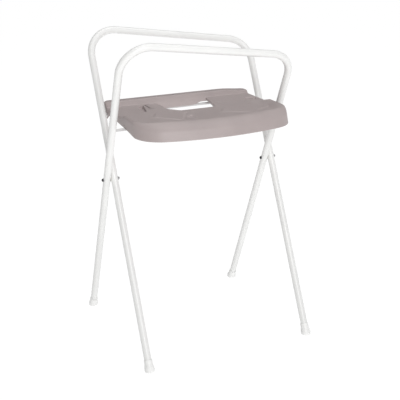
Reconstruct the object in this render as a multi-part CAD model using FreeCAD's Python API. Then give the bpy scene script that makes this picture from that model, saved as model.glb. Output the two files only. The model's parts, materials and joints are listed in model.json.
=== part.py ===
import FreeCAD, Part
import math
import os

# Folding bath and changing stand: two crossed U-shaped tube frames, pinned to each
# other at mid height, with a moulded tray hooked on the rear rod and resting on the front rod.
# Millimetres. Origin on the floor under the pivot line, +X along the top bars to the
# right end, +Y to the rear, +Z up. The low ends of both top bars are on the right.

V = FreeCAD.Vector
LEFT, RIGHT = -1, 1
SIDE_NAMES = {LEFT: "left", RIGHT: "right"}

# ---- frames -------------------------------------------------------------------
TUBE_R = 11.0                # outside radius of the frame tube
TUBE_WALL = 1.2
PIVOT_Z = 535.5              # height of the pivot bolts above the floor
FOOT_REACH = 255.0           # horizontal distance from the pivot line to each foot
HALF_SPAN = 271.0            # leg centre line to the frame's middle
SIDE_SHIFT = 12.0            # each frame sits this far to its side, so that the legs pass
BAR_RISE_LEFT = 433.5        # top bar above the pivot at its high, left end
BAR_RISE_RIGHT = 360.0       # and at its low, right end
BEND_R = 80.0                # centre line radius of the two top bends
TUBE_END_ALONG = 7.0         # open tube end above the floor point, along the leg

LEG_SLOPE = FOOT_REACH / PIVOT_Z
LEG_ANGLE = math.degrees(math.atan(LEG_SLOPE))
COS_LEG = math.cos(math.radians(LEG_ANGLE))
SIN_LEG = math.sin(math.radians(LEG_ANGLE))

# One frame has its bar at the rear and its feet at the front, the other the opposite.
REAR_BAR = {"lean": 1, "shift": SIDE_SHIFT}
FRONT_BAR = {"lean": -1, "shift": -SIDE_SHIFT}

# ---- cross rods ---------------------------------------------------------------
ROD_R = 4.0
REAR_ROD_RISE = 181.5        # rod above the pivot line, on the frame with the rear bar
FRONT_ROD_RISE = 171.5
ROD_END_INSET = 5.0          # the rod ends this far from the leg's centre line

# ---- pivot bolts ----------------------------------------------------------------
BOLT_R = 2.5
PIVOT_CLEARANCE = 0.05       # the turning frame's hole is this much larger in radius
FACE_GAP = 0.3               # between the turning tube and the parts beside it
HEAD_R = 4.8
HEAD_HEIGHT = 4.6
SOCKET_R = 1.6
SOCKET_DEPTH = 2.0
WASHER_R = 5.5
WASHER_THICK = 1.0
SPACER_R = 7.0
NUT_FLAT_R = 4.0             # half the distance across the nut's flats
NUT_HEX_HEIGHT = 3.4
NUT_HEIGHT = 4.9
BOLT_IN_NUT = 3.0

# ---- foot caps --------------------------------------------------------------------
FOOT_LENGTH = 35.0
FOOT_TOP_R = 12.6
FOOT_NECK_R = 13.0
FOOT_FLARE_R = 15.4
FOOT_HEEL_ALONG = 4.0        # the flare is straight from here
FOOT_FLARE_ALONG = 12.0      # to here
FOOT_NECK_ALONG = 19.0
FOOT_EDGE = 1.0              # chamfer round the top
FOOT_TOE_R = 12.0
FOOT_BELOW = 5.0             # the turned shape goes on below the floor, and is cut flat there

# ---- tray -----------------------------------------------------------------------
WALL = 3.0
TRAY_HALF = 245.0
TRAY_REAR_Y = 130.0
TRAY_FRONT_Y = -264.0        # at the skirt's lower edge
FRONT_DRAFT = 17.0           # the front wall leans back this far over its height
REAR_CORNER_R = 18.0
FRONT_BOW_R = 706.0
FRONT_CORNER_R = 90.0
SKIRT_LOW_Z = 698.0
DECK_Z = 736.0
FRONT_RIM_Z = 746.0
REAR_RIM_Z = 752.0
RIM_CREST_Y = 100.0          # top of the sloping face of the raised rear rim
RIM_FOOT = (77.0, 718.0)     # where that slope would end, in front of the rear rod: y, z
STEP_Y = -51.0               # foot of the step up to the front part
STEP_RUN = 12.0
REAR_SKIRT_Z = 724.0
ROD_FIT = 0.3                # clearance round the rods
SLOT_R = 4.7                 # half width of the rear hook's slot
SLOT_DROP = 28.0             # degrees that the slot falls towards the rear
HOOK_LIP = 6.0               # thickness of the hook under the slot
HOOK_REAR_Y = 110.0
OPENING_NEAR_Y = -44.0       # hose opening, from here back to the rear rim's front wall
OPENING_NEAR_LEFT_X = -52.0
OPENING_NEAR_RIGHT_X = 64.0
OPENING_FAR_LEFT_X = -84.0
OPENING_FAR_RIGHT_X = 92.0
OPENING_LEFT_CORNER = (-80.0, -8.0)       # the left edge slants in from here to the near edge
OPENING_BACK_Y = 110.0                    # the drawn outline ends here, inside the rim
OPENING_RADII = (8.0, 4.0, 4.0, 20.0, 14.0)
COLLAR_DEPTH = 8.0
RIM_WALL_X = (-110.0, 37.0, 75.0, 122.0)  # wall behind the opening: left end, rise from, rise to, right end
RIM_WALL_LOW_Z = 718.5
RIM_WALL_HIGH_Z = 725.5
SIDE_SLOT = (198.0, 230.0, 2.0, 32.0)     # hand slot in the right side: low x, high x, low y, high y
CATCH_SLOT = (-158.0, -138.0, -12.0, 70.0)  # catch pocket on the left, floor lowered
CATCH_DEPTH = 6.0
CATCH_SLIT = (-127.2, -122.8, 24.0, 80.0)   # slit beside it, right through the deck
RIB_XS = (-150.0, -75.0, 90.0, 165.0)
RIB_YS = (-118.0, 20.0)
RIB_FRONT_Y = -253.0
RIB_REAR_Y = -103.0
RIB_THICK = 2.4
RIB_LOW_Z = 718.0

# ---- snap clips under the tray ----------------------------------------------------
CLIP_X = 205.0
CLIP_WIDTH = 22.0
CLIP_WALL = 3.2
CLIP_MOUTH = 28.0            # degrees from straight down, towards the rear

PARTS = {}


def leg_vector(frame):
    """Unit vector up the legs of a frame."""
    return V(0, frame["lean"] * SIN_LEG, COS_LEG)


def on_frame(frame, across, along):
    """Point in a frame's plane: across from its middle, along the legs from the pivot."""
    return V(across + frame["shift"], 0, PIVOT_Z) + leg_vector(frame) * along


def at_rise(frame, rise):
    """Point of the frame's plane, in Y and Z, at a height above the pivot."""
    return on_frame(frame, 0, rise / COS_LEG)


def cylinder(base, direction, radius, length):
    return Part.makeCylinder(radius, length, base, direction)


def rounded_wire(corners, radii):
    """Open wire through the points, with a tangent arc of the given radius at each inner point."""
    edges = []
    start = corners[0]
    for before, corner, after, radius in zip(corners, corners[1:], corners[2:], radii):
        back = (before - corner).normalize()
        onward = (after - corner).normalize()
        half_inside = back.getAngle(onward) / 2
        reach = radius / math.tan(half_inside)
        middle = (back + onward).normalize()
        centre = corner + middle * (radius / math.sin(half_inside))
        arc_start = corner + back * reach
        arc_end = corner + onward * reach
        edges.append(Part.LineSegment(start, arc_start).toShape())
        edges.append(Part.Arc(arc_start, centre - middle * radius, arc_end).toShape())
        start = arc_end
    edges.append(Part.LineSegment(start, corners[-1]).toShape())
    return Part.Wire(edges)


def swept(path, radius, start, direction):
    circle = Part.Wire([Part.Circle(start, direction, radius).toShape()])
    return path.makePipeShell([circle], True, False)


def frame_tube(frame, rod_rise, pivot_hole_r):
    """Inverted U of round tube, drilled for the pivot bolts and for its cross rod."""
    foot = -PIVOT_Z / COS_LEG + TUBE_END_ALONG
    high = BAR_RISE_LEFT / COS_LEG
    low = BAR_RISE_RIGHT / COS_LEG
    corners = [
        on_frame(frame, -HALF_SPAN, foot),
        on_frame(frame, -HALF_SPAN, high),
        on_frame(frame, HALF_SPAN, low),
        on_frame(frame, HALF_SPAN, foot),
    ]
    path = rounded_wire(corners, [BEND_R, BEND_R])
    up = leg_vector(frame)
    tube = swept(path, TUBE_R, corners[0], up).cut(swept(path, TUBE_R - TUBE_WALL, corners[0], up))
    x_axis = V(1, 0, 0)
    rod_at = at_rise(frame, rod_rise)
    for side in (LEFT, RIGHT):
        leg_x = side * HALF_SPAN + frame["shift"]
        across = cylinder(V(leg_x - 2 * TUBE_R, 0, PIVOT_Z), x_axis, pivot_hole_r, 4 * TUBE_R)
        rod_hole = cylinder(V(leg_x, rod_at.y, rod_at.z), x_axis * -side, ROD_R, 2 * TUBE_R)
        tube = tube.cut(across).cut(rod_hole)
    return tube


def cross_rod(frame, rod_rise):
    """Straight rod whose ends sit inside the drilled inner walls of the two legs."""
    at = at_rise(frame, rod_rise)
    length = 2 * (HALF_SPAN - ROD_END_INSET)
    return cylinder(V(frame["shift"] - length / 2, at.y, at.z), V(1, 0, 0), ROD_R, length)


def foot_cap(frame, side):
    """Flared cap over the tube end, cut flat where it stands on the floor."""
    bore_r = TUBE_R
    outline = [
        V(0, 0, -FOOT_BELOW),
        V(FOOT_TOE_R, 0, -FOOT_BELOW),
        V(FOOT_FLARE_R, 0, FOOT_HEEL_ALONG),
        V(FOOT_FLARE_R, 0, FOOT_FLARE_ALONG),
        V(FOOT_NECK_R, 0, FOOT_NECK_ALONG),
        V(FOOT_TOP_R, 0, FOOT_LENGTH - FOOT_EDGE),
        V(FOOT_TOP_R - FOOT_EDGE, 0, FOOT_LENGTH),
        V(bore_r, 0, FOOT_LENGTH),
        V(bore_r, 0, TUBE_END_ALONG),
        V(0, 0, TUBE_END_ALONG),
        V(0, 0, -FOOT_BELOW),
    ]
    cap = Part.Face(Part.makePolygon(outline)).revolve(V(0, 0, 0), V(0, 0, 1), 360)
    cap.rotate(V(0, 0, 0), V(1, 0, 0), -frame["lean"] * LEG_ANGLE)
    cap.translate(V(frame["shift"] + side * HALF_SPAN, -frame["lean"] * FOOT_REACH, 0))
    below = Part.makeBox(100, 100, 50, V(-50, -50, -50))
    below.translate(V(frame["shift"] + side * HALF_SPAN, -frame["lean"] * FOOT_REACH, 0))
    return cap.cut(below)


def hexagon(flat_r, at, height):
    """Hexagonal prism along +X."""
    corner_r = flat_r / math.cos(math.radians(30))
    turns = [math.radians(60 * k) for k in range(7)]
    corners = [at + V(0, corner_r * math.cos(t), corner_r * math.sin(t)) for t in turns]
    return Part.Face(Part.makePolygon(corners)).extrude(V(height, 0, 0))


def domed(radius, edge, height, at, direction):
    """Disc along +X or -X with a domed far face; edge is the height of its straight rim."""
    rise = height - edge
    sphere_r = (radius * radius + rise * rise) / (2 * rise)
    ball = Part.makeSphere(sphere_r, at + direction * (height - sphere_r))
    return cylinder(at, direction, radius, height).common(ball)


def pivot_parts(side):
    """Bolt, cap nut, spacer and two washers on one pivot, lined up from the turning leg to +X."""
    name = SIDE_NAMES[side]
    x_axis = V(1, 0, 0)
    turning_face = side * HALF_SPAN + FRONT_BAR["shift"] - TUBE_R
    turning_inner = turning_face + 2 * TUBE_R
    fixed_inner = side * HALF_SPAN + REAR_BAR["shift"] - TUBE_R
    fixed_face = fixed_inner + 2 * TUBE_R
    head_washer = turning_face - FACE_GAP - WASHER_THICK
    nut_base = fixed_face + WASHER_THICK

    head = domed(HEAD_R, 1.2, HEAD_HEIGHT, V(head_washer, 0, PIVOT_Z), x_axis * -1)
    shank = cylinder(V(head_washer, 0, PIVOT_Z), x_axis, BOLT_R, nut_base + BOLT_IN_NUT - head_washer)
    socket_at = V(head_washer - HEAD_HEIGHT, 0, PIVOT_Z)
    PARTS["pivot_bolt_" + name] = head.fuse(shank).removeSplitter().cut(
        hexagon(SOCKET_R, socket_at, SOCKET_DEPTH))

    crown = domed(NUT_FLAT_R, NUT_HEX_HEIGHT, NUT_HEIGHT, V(nut_base, 0, PIVOT_Z), x_axis)
    nut = hexagon(NUT_FLAT_R, V(nut_base, 0, PIVOT_Z), NUT_HEX_HEIGHT).fuse(crown).removeSplitter()
    PARTS["pivot_nut_" + name] = nut.cut(cylinder(V(nut_base, 0, PIVOT_Z), x_axis, BOLT_R, BOLT_IN_NUT))

    washers = []
    for start in (head_washer, fixed_face):
        disc = cylinder(V(start, 0, PIVOT_Z), x_axis, WASHER_R, WASHER_THICK)
        washers.append(disc.cut(cylinder(V(start, 0, PIVOT_Z), x_axis, BOLT_R, WASHER_THICK)))
    PARTS["pivot_washers_" + name] = Part.makeCompound(washers)

    spacer_start = turning_inner + FACE_GAP
    thick = fixed_inner - spacer_start
    disc = cylinder(V(spacer_start, 0, PIVOT_Z), x_axis, SPACER_R, thick)
    PARTS["pivot_spacer_" + name] = disc.cut(
        cylinder(V(spacer_start, 0, PIVOT_Z), x_axis, BOLT_R, thick))


def tray_outline(inset, front_y, z):
    """D-shaped outline: straight rear and sides, bowed front, all corners tangent arcs."""
    half = TRAY_HALF - inset
    rear = TRAY_REAR_Y - inset
    rear_r = REAR_CORNER_R - inset
    corner_r = FRONT_CORNER_R - inset
    bow_r = FRONT_BOW_R - inset
    bow_y = front_y + inset + bow_r
    corner_x = half - corner_r
    corner_y = bow_y - math.sqrt((bow_r - corner_r) ** 2 - corner_x ** 2)
    spread = math.atan2(corner_x, bow_y - corner_y)
    edges = []

    def arc(cx, cy, radius, first, last):
        angles = [first, (first + last) / 2, last]
        points = [V(cx + radius * math.cos(a), cy + radius * math.sin(a), z) for a in angles]
        edges.append(Part.Arc(*points).toShape())
        return points

    down = -math.pi / 2
    arc(0, bow_y, bow_r, down - spread, down + spread)
    right = arc(corner_x, corner_y, corner_r, down + spread, 0)
    rear_right = arc(half - rear_r, rear - rear_r, rear_r, 0, math.pi / 2)
    rear_left = arc(rear_r - half, rear - rear_r, rear_r, math.pi / 2, math.pi)
    left = arc(-corner_x, corner_y, corner_r, math.pi, math.pi * 3 / 2 - spread)
    for end, start in ((right, rear_right), (rear_right, rear_left), (rear_left, left)):
        edges.append(Part.LineSegment(end[2], start[0]).toShape())
    return Part.Wire(Part.sortEdges(edges)[0])


def tray_block(inset):
    """Solid inside the outline, with the front wall leaning back towards its top."""
    bottom_z = SKIRT_LOW_Z - 10
    top_z = REAR_RIM_Z + 2
    lean = FRONT_DRAFT / (FRONT_RIM_Z - SKIRT_LOW_Z)
    low = tray_outline(inset, TRAY_FRONT_Y - lean * (SKIRT_LOW_Z - bottom_z), bottom_z)
    high = tray_outline(inset, TRAY_FRONT_Y + lean * (top_z - SKIRT_LOW_Z), top_z)
    return Part.makeLoft([low, high], True, True)


def across_tray(points):
    """Side-view polygon, given as (y, z) pairs, run across the whole width."""
    reach = TRAY_HALF + 10
    corners = [V(-reach, y, z) for y, z in points]
    corners.append(corners[0])
    return Part.Face(Part.makePolygon(corners)).extrude(V(2 * reach, 0, 0))


def slot_line(along, offset, seat):
    """Point at a distance along the hook slot and to one side of its centre line."""
    fall = math.radians(SLOT_DROP)
    y = seat.y + along * math.cos(fall) - offset * math.sin(fall)
    z = seat.z - along * math.sin(fall) - offset * math.cos(fall)
    return y, z


def hook_lip(seat):
    """Side view of the hook that runs under the rear rod, to the rear edge of the side wall."""
    outer = SLOT_R + HOOK_LIP
    return [
        slot_line(24.0, outer - 1.5, seat),
        slot_line(21.0, outer, seat),
        slot_line(-2.0, outer, seat),
        slot_line(-14.0, outer - 3.0, seat),
    ]


def rim_slope_y(z, inset=0.0):
    """Y of the rear rim's sloping front face at a height, or of a face inset behind it."""
    run = (RIM_CREST_Y - RIM_FOOT[0]) / (REAR_RIM_Z - RIM_FOOT[1])
    return RIM_FOOT[0] + run * (z - RIM_FOOT[1]) + inset * math.hypot(1, run)


def behind_rim_slope(inset, low_z, high_z):
    """Everything behind the rim's sloping face between two heights, across the whole width."""
    return across_tray([
        (rim_slope_y(low_z, inset), low_z),
        (rim_slope_y(high_z, inset), high_z),
        (TRAY_REAR_Y + 5, high_z),
        (TRAY_REAR_Y + 5, low_z),
    ])


def top_profile(drop):
    """Upper line of the tray in side view, lowered by drop and shifted by it at the steps."""
    deck_z = DECK_Z - drop
    rim_z = REAR_RIM_Z - drop
    return [
        (TRAY_FRONT_Y - 5, FRONT_RIM_Z - drop),
        (STEP_Y - drop - STEP_RUN, FRONT_RIM_Z - drop),
        (STEP_Y - drop, deck_z),
        (rim_slope_y(deck_z, drop), deck_z),
        (rim_slope_y(rim_z, drop), rim_z),
        (TRAY_REAR_Y + 5, rim_z),
    ]


def opening_cutter(grow, low_z, high_z):
    """Five-sided prism of the hose opening with rounded corners, ending at the rim's slope."""
    near_y = OPENING_NEAR_Y - grow
    left_x, left_y = OPENING_LEFT_CORNER
    middle = V((OPENING_NEAR_LEFT_X + OPENING_NEAR_RIGHT_X) / 2, near_y, low_z)
    corners = [
        middle,
        V(OPENING_NEAR_RIGHT_X + grow, near_y, low_z),
        V(OPENING_FAR_RIGHT_X + grow, OPENING_BACK_Y, low_z),
        V(OPENING_FAR_LEFT_X - grow, OPENING_BACK_Y, low_z),
        V(left_x - grow, left_y - grow / 2, low_z),
        V(OPENING_NEAR_LEFT_X - grow / 2, near_y, low_z),
        middle,
    ]
    wire = rounded_wire(corners, [radius + grow for radius in OPENING_RADII])
    prism = Part.Face(wire).extrude(V(0, 0, high_z - low_z))
    return prism.cut(behind_rim_slope(0, low_z - 1, high_z + 1))


def rim_wall():
    """Lower part of the rim's sloping face, which hangs in front of the rear rod."""
    left, rise_from, rise_to, right = RIM_WALL_X
    slab = behind_rim_slope(0, RIM_WALL_LOW_Z, REAR_RIM_Z - 3).cut(
        behind_rim_slope(WALL, RIM_WALL_LOW_Z - 1, REAR_RIM_Z))
    front_y = RIM_FOOT[0] - 2
    corners = [
        V(left, front_y, RIM_WALL_LOW_Z),
        V(rise_from, front_y, RIM_WALL_LOW_Z),
        V(rise_to, front_y, RIM_WALL_HIGH_Z),
        V(right, front_y, RIM_WALL_HIGH_Z),
        V(right, front_y, REAR_RIM_Z),
        V(left, front_y, REAR_RIM_Z),
        V(left, front_y, RIM_WALL_LOW_Z),
    ]
    outline = Part.Face(Part.makePolygon(corners)).extrude(V(0, TRAY_REAR_Y - front_y, 0))
    return slab.common(outline)


def tray_ribs():
    """Stiffening ribs under the deck, from the opening's collar out to the walls."""
    ribs = []
    height = DECK_Z - WALL + 1 - RIB_LOW_Z
    for x in RIB_XS:
        ribs.append(Part.makeBox(RIB_THICK, RIB_REAR_Y - RIB_FRONT_Y, height, V(x, RIB_FRONT_Y, RIB_LOW_Z)))
    for y in RIB_YS:
        ribs.append(Part.makeBox(2 * TRAY_HALF, RIB_THICK, height, V(-TRAY_HALF, y, RIB_LOW_Z)))
    return Part.makeCompound(ribs)


def tray():
    """Moulded tray: a thin shell with a skirt, hooks at the rear and a rest on the front rod."""
    seat = at_rise(REAR_BAR, REAR_ROD_RISE)
    rest = at_rise(FRONT_BAR, FRONT_ROD_RISE)
    rest_z = rest.z + 1.5
    lower = [
        (TRAY_REAR_Y + 5, REAR_SKIRT_Z),
        (HOOK_REAR_Y, REAR_SKIRT_Z),
    ]
    lower += hook_lip(seat)
    lower += [
        (45.0, 713.0),
        (-14.0, 714.0),
        (rest.y + 12, rest_z + 1.0),
        (rest.y - 8, rest_z),
        (-122.0, 705.0),
        (-165.0, SKIRT_LOW_Z + 1.0),
        (-205.0, SKIRT_LOW_Z),
        (TRAY_FRONT_Y - 5, SKIRT_LOW_Z),
    ]
    body = tray_block(0).common(across_tray(top_profile(0) + lower))

    cavity_low = SKIRT_LOW_Z - 8
    under = [(TRAY_REAR_Y + 5, cavity_low), (TRAY_FRONT_Y - 5, cavity_low)]
    cavity = tray_block(WALL).common(across_tray(top_profile(WALL) + under))
    collar = opening_cutter(WALL, DECK_Z - COLLAR_DEPTH, REAR_RIM_Z)
    pocket_x0, pocket_x1, pocket_y0, pocket_y1 = CATCH_SLOT
    pocket_box = Part.makeBox(
        pocket_x1 - pocket_x0 + 2 * WALL, pocket_y1 - pocket_y0 + 2 * WALL, CATCH_DEPTH + WALL,
        V(pocket_x0 - WALL, pocket_y0 - WALL, DECK_Z - CATCH_DEPTH - WALL))
    cavity = cavity.cut(collar).cut(pocket_box).cut(tray_ribs().common(cavity)).cut(rim_wall())
    body = body.cut(cavity)

    body = body.cut(opening_cutter(0, SKIRT_LOW_Z, REAR_RIM_Z + 5))
    low_x, high_x, low_y, high_y = SIDE_SLOT
    body = body.cut(Part.makeBox(high_x - low_x, high_y - low_y, 30, V(low_x, low_y, DECK_Z - 20)))
    body = body.cut(Part.makeBox(
        pocket_x1 - pocket_x0, pocket_y1 - pocket_y0, CATCH_DEPTH + 5,
        V(pocket_x0, pocket_y0, DECK_Z - CATCH_DEPTH)))
    slit_x0, slit_x1, slit_y0, slit_y1 = CATCH_SLIT
    body = body.cut(Part.makeBox(slit_x1 - slit_x0, slit_y1 - slit_y0, 20, V(slit_x0, slit_y0, DECK_Z - 10)))
    return body.cut(hook_slot(seat)).cut(rod_rest(rest))


def hook_slot(seat):
    """Slot round the rear rod, open at the rear edge of the side walls."""
    far = 45.0
    corners = [
        slot_line(0, SLOT_R, seat),
        slot_line(far, SLOT_R + 1.5, seat),
        slot_line(far, -SLOT_R - 1.5, seat),
        slot_line(0, -SLOT_R, seat),
    ]
    reach = TRAY_HALF + 10
    seat_round = cylinder(V(-reach, seat.y, seat.z), V(1, 0, 0), SLOT_R, 2 * reach)
    return across_tray(corners).fuse(seat_round)


def rod_rest(rest):
    """Shallow round notch where the lower edge of the side walls sits on the front rod."""
    reach = TRAY_HALF + 10
    return cylinder(V(-reach, rest.y, rest.z), V(1, 0, 0), ROD_R + ROD_FIT, 2 * reach)


def snap_clip(side):
    """Clip under the tray that closes over the front rod, open downwards and to the rear."""
    rest = at_rise(FRONT_BAR, FRONT_ROD_RISE)
    inner_r = ROD_R + ROD_FIT
    outer_r = inner_r + CLIP_WALL
    start = V(side * CLIP_X - CLIP_WIDTH / 2, rest.y, rest.z)
    x_axis = V(1, 0, 0)
    deck_under = FRONT_RIM_Z - WALL
    stem = Part.makeBox(
        CLIP_WIDTH, 2 * outer_r, deck_under - rest.z - inner_r,
        V(start.x, rest.y - outer_r, rest.z + inner_r))
    clip = cylinder(start, x_axis, outer_r, CLIP_WIDTH).fuse(stem)
    clip = clip.cut(cylinder(start, x_axis, inner_r, CLIP_WIDTH))
    mouth = Part.makeBox(CLIP_WIDTH, 2 * outer_r + 6, 3 * outer_r, V(start.x, -inner_r, -3 * outer_r))
    mouth.rotate(V(0, 0, 0), x_axis, CLIP_MOUTH)
    mouth.translate(V(0, rest.y, rest.z))
    return clip.cut(mouth).removeSplitter()


def build():
    PARTS["rear_bar_frame"] = frame_tube(REAR_BAR, REAR_ROD_RISE, BOLT_R)
    PARTS["front_bar_frame"] = frame_tube(FRONT_BAR, FRONT_ROD_RISE, BOLT_R + PIVOT_CLEARANCE)
    PARTS["rear_rod"] = cross_rod(REAR_BAR, REAR_ROD_RISE)
    PARTS["front_rod"] = cross_rod(FRONT_BAR, FRONT_ROD_RISE)
    for side in (LEFT, RIGHT):
        PARTS["foot_front_" + SIDE_NAMES[side]] = foot_cap(REAR_BAR, side)
        PARTS["foot_rear_" + SIDE_NAMES[side]] = foot_cap(FRONT_BAR, side)
        pivot_parts(side)
        PARTS["snap_clip_" + SIDE_NAMES[side]] = snap_clip(side)
    PARTS["tray"] = tray()


def main():
    build()
    os.makedirs("parts", exist_ok=True)
    for name, shape in PARTS.items():
        if len(shape.Solids) == 1:
            shape = shape.Solids[0]
        box = shape.optimalBoundingBox()
        sides = (box.XMin, box.XMax, box.YMin, box.YMax, box.ZMin, box.ZMax)
        print(name, len(shape.Solids), "valid" if shape.isValid() else "INVALID",
              round(shape.Volume), [round(side, 1) for side in sides])
        shape.exportStep("parts/" + name + ".step")


main()
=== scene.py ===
import json
import math

import bmesh
import bpy
import numpy as np
from mathutils import Matrix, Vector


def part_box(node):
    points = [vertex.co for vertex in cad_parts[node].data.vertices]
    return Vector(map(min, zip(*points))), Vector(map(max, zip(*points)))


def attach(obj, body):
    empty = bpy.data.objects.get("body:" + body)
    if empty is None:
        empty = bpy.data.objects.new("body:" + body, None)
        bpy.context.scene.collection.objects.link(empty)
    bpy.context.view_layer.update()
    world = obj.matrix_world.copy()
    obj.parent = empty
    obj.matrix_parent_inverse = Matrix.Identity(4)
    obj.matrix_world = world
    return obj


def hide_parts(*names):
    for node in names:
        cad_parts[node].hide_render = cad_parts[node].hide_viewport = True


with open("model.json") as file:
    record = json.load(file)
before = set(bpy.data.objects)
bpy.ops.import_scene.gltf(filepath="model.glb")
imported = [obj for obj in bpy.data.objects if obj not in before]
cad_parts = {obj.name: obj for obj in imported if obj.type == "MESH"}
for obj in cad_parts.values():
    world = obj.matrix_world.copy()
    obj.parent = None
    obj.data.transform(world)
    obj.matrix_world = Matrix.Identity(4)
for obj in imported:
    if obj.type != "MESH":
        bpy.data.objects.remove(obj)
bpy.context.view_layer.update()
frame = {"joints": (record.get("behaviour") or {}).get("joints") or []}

# Folding bath and changing stand. Shapes are worked out in millimetres, in the frame's
# own axes, and turned into metres where each mesh is made.
MM = 0.001
SIDES = ("left", "right")


def box_mm(node):
    """Lowest and highest corner of a CAD node."""
    low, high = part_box(node)
    return np.array(low) / MM, np.array(high) / MM


# ---- frame dimensions ------------------------------------------------------------
TUBE_R = 11.0
TUBE_WALL = 1.2
TUBE_AROUND = 56
TUBE_END_ALONG = 7.0
BEND_R = 80.0
BEND_STEPS = 29
STRAIGHT_PITCH = 30.0
FOOT_REACH = 255.0
BAR_RISE_LEFT = 433.5
BAR_RISE_RIGHT = 360.0
ROD_R = 4.0
ROD_CHAMFER = 0.8
ROD_RINGS = 21
ROD_AROUND = 32
PIVOT_Z = frame["joints"][0]["pos_m"][2] / MM
LEG_ANGLE = math.atan(FOOT_REACH / PIVOT_Z)
COS_LEG, SIN_LEG = math.cos(LEG_ANGLE), math.sin(LEG_ANGLE)
REAR_ROD = sum(box_mm("rear_rod")) / 2
FRONT_ROD = sum(box_mm("front_rod")) / 2

# lean is +1 where the top bar is at the rear and the feet are at the front.
STANDS = {
    "rear_bar_frame": {"body": "rear_bar_stand", "lean": 1, "feet": "foot_front_", "rod": "rear_rod"},
    "front_bar_frame": {"body": "front_bar_stand", "lean": -1, "feet": "foot_rear_", "rod": "front_rod"},
}


# ---- meshes ----------------------------------------------------------------------
SHARP_DEG = 35.0
# Smallest radius of a turned piece, at its axis.
AXIS_R = 0.01
# Half width of a mould seam, as the sine of its angle about the axis.
SEAM_SPREAD = 0.05


def shade(mesh, sharp_deg):
    """Smooth shading, with edges kept sharp from an angle up."""
    mesh.polygons.foreach_set("use_smooth", [True] * len(mesh.polygons))
    mesh.set_sharp_from_angle(angle=math.radians(sharp_deg))


def make_piece(name, points, faces, body, material, replaces, sharp_deg=SHARP_DEG):
    """Mesh object from points in millimetres, on its body, in place of its CAD node."""
    mesh = bpy.data.meshes.new(name)
    mesh.from_pydata((np.asarray(points, float) * MM).tolist(), [], faces)
    mesh.validate()
    mesh.update()
    clean = bmesh.new()
    clean.from_mesh(mesh)
    bmesh.ops.recalc_face_normals(clean, faces=clean.faces)
    clean.to_mesh(mesh)
    clean.free()
    shade(mesh, sharp_deg)
    piece = bpy.data.objects.new(name, mesh)
    bpy.context.scene.collection.objects.link(piece)
    mesh.materials.append(material)
    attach(piece, body)
    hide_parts(replaces)
    return piece


def ring_faces(rings, around, closed_ends=False, closed_loop=False):
    """Quads between successive rings of the same size."""
    faces = []
    for i in range(rings if closed_loop else rings - 1):
        a, b = i * around, ((i + 1) % rings) * around
        for k in range(around):
            n = (k + 1) % around
            faces.append((a + k, a + n, b + n, b + k))
    if closed_ends:
        faces.append(tuple(range(around))[::-1])
        faces.append(tuple(range((rings - 1) * around, rings * around)))
    return faces


def lathe(profile, origin, axis, around, seam=0.0):
    """Points and faces of a closed profile turned about an axis, with a mould seam of the
    given height on both sides. Each profile point is (radius, distance along the axis), and
    a third value makes that ring a hexagon at 1 and a circle at 0."""
    axis = np.array(axis, float) / np.linalg.norm(axis)
    side = np.cross(axis, (0, 0, 1))
    side /= np.linalg.norm(side)
    other = np.cross(axis, side)
    turn = np.arange(around) * 2 * math.pi / around
    off_flat = (turn + math.pi / 6) % (math.pi / 3) - math.pi / 6
    hexagon = 1 / np.cos(off_flat)
    ridge = seam * np.exp(-(np.sin(turn) / SEAM_SPREAD) ** 2)
    points = []
    for radius, along, *hex_share in profile:
        r = radius * (1 + sum(hex_share) * (hexagon - 1)) + ridge
        ring = np.outer(r * np.cos(turn), side) + np.outer(r * np.sin(turn), other)
        points.append(ring + np.array(origin, float) + axis * along)
    return np.concatenate(points), ring_faces(len(profile), around, closed_loop=True)


def fillet(before, corner, after, radius):
    """Centre, two ends and sweep of the arc that rounds a corner."""
    back = (before - corner) / np.linalg.norm(before - corner)
    onward = (after - corner) / np.linalg.norm(after - corner)
    half = math.acos(back @ onward) / 2
    reach = radius / math.tan(half)
    centre = corner + (back + onward) / np.linalg.norm(back + onward) * radius / math.sin(half)
    return centre, corner + back * reach, corner + onward * reach, math.pi - 2 * half


def rounded(section, steps):
    """Closed outline from (u, v, radius) corners, with an arc at each that has a radius."""
    made = []
    corners = [np.array(corner[:2], float) for corner in section]
    befores, afters = corners[-1:] + corners[:-1], corners[1:] + corners[:1]
    for before, corner, after, (_, _, radius) in zip(befores, corners, afters, section):
        if radius == 0:
            made.append(corner)
            continue
        centre, start, end, sweep = fillet(before, corner, after, radius)
        for t in np.linspace(0, 1, steps):
            first, last = math.sin((1 - t) * sweep), math.sin(t * sweep)
            made.append(centre + (first * (start - centre) + last * (end - centre)) / math.sin(sweep))
    return made


# ---- tubes and rods --------------------------------------------------------------
def tube_path(left_x, right_x):
    """Centre line of an inverted U in its own plane, as (x, along the legs) and headings."""
    foot = -PIVOT_Z / COS_LEG + TUBE_END_ALONG
    corners = [
        np.array((left_x, foot)),
        np.array((left_x, BAR_RISE_LEFT / COS_LEG)),
        np.array((right_x, BAR_RISE_RIGHT / COS_LEG)),
        np.array((right_x, foot)),
    ]
    points, headings = [], []

    def straight(start, end):
        length = np.linalg.norm(end - start)
        shares = np.linspace(0, 1, max(2, round(length / STRAIGHT_PITCH)), endpoint=False)
        for t in shares[1 if points else 0:]:
            points.append(start + (end - start) * t)
            headings.append((end - start) / length)

    start = corners[0]
    for before, corner, after in zip(corners, corners[1:], corners[2:]):
        centre, arc_start, arc_end, sweep = fillet(before, corner, after, BEND_R)
        straight(start, arc_start)
        heading = headings[-1]
        for t in np.linspace(0, sweep, BEND_STEPS):
            turn = np.array(((math.cos(t), math.sin(t)), (-math.sin(t), math.cos(t))))
            points.append(centre + turn @ (arc_start - centre))
            headings.append(turn @ heading)
        start = arc_end
    straight(start, corners[-1])
    points.append(corners[-1])
    headings.append(headings[-1])
    return np.array(points), np.array(headings)


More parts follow.
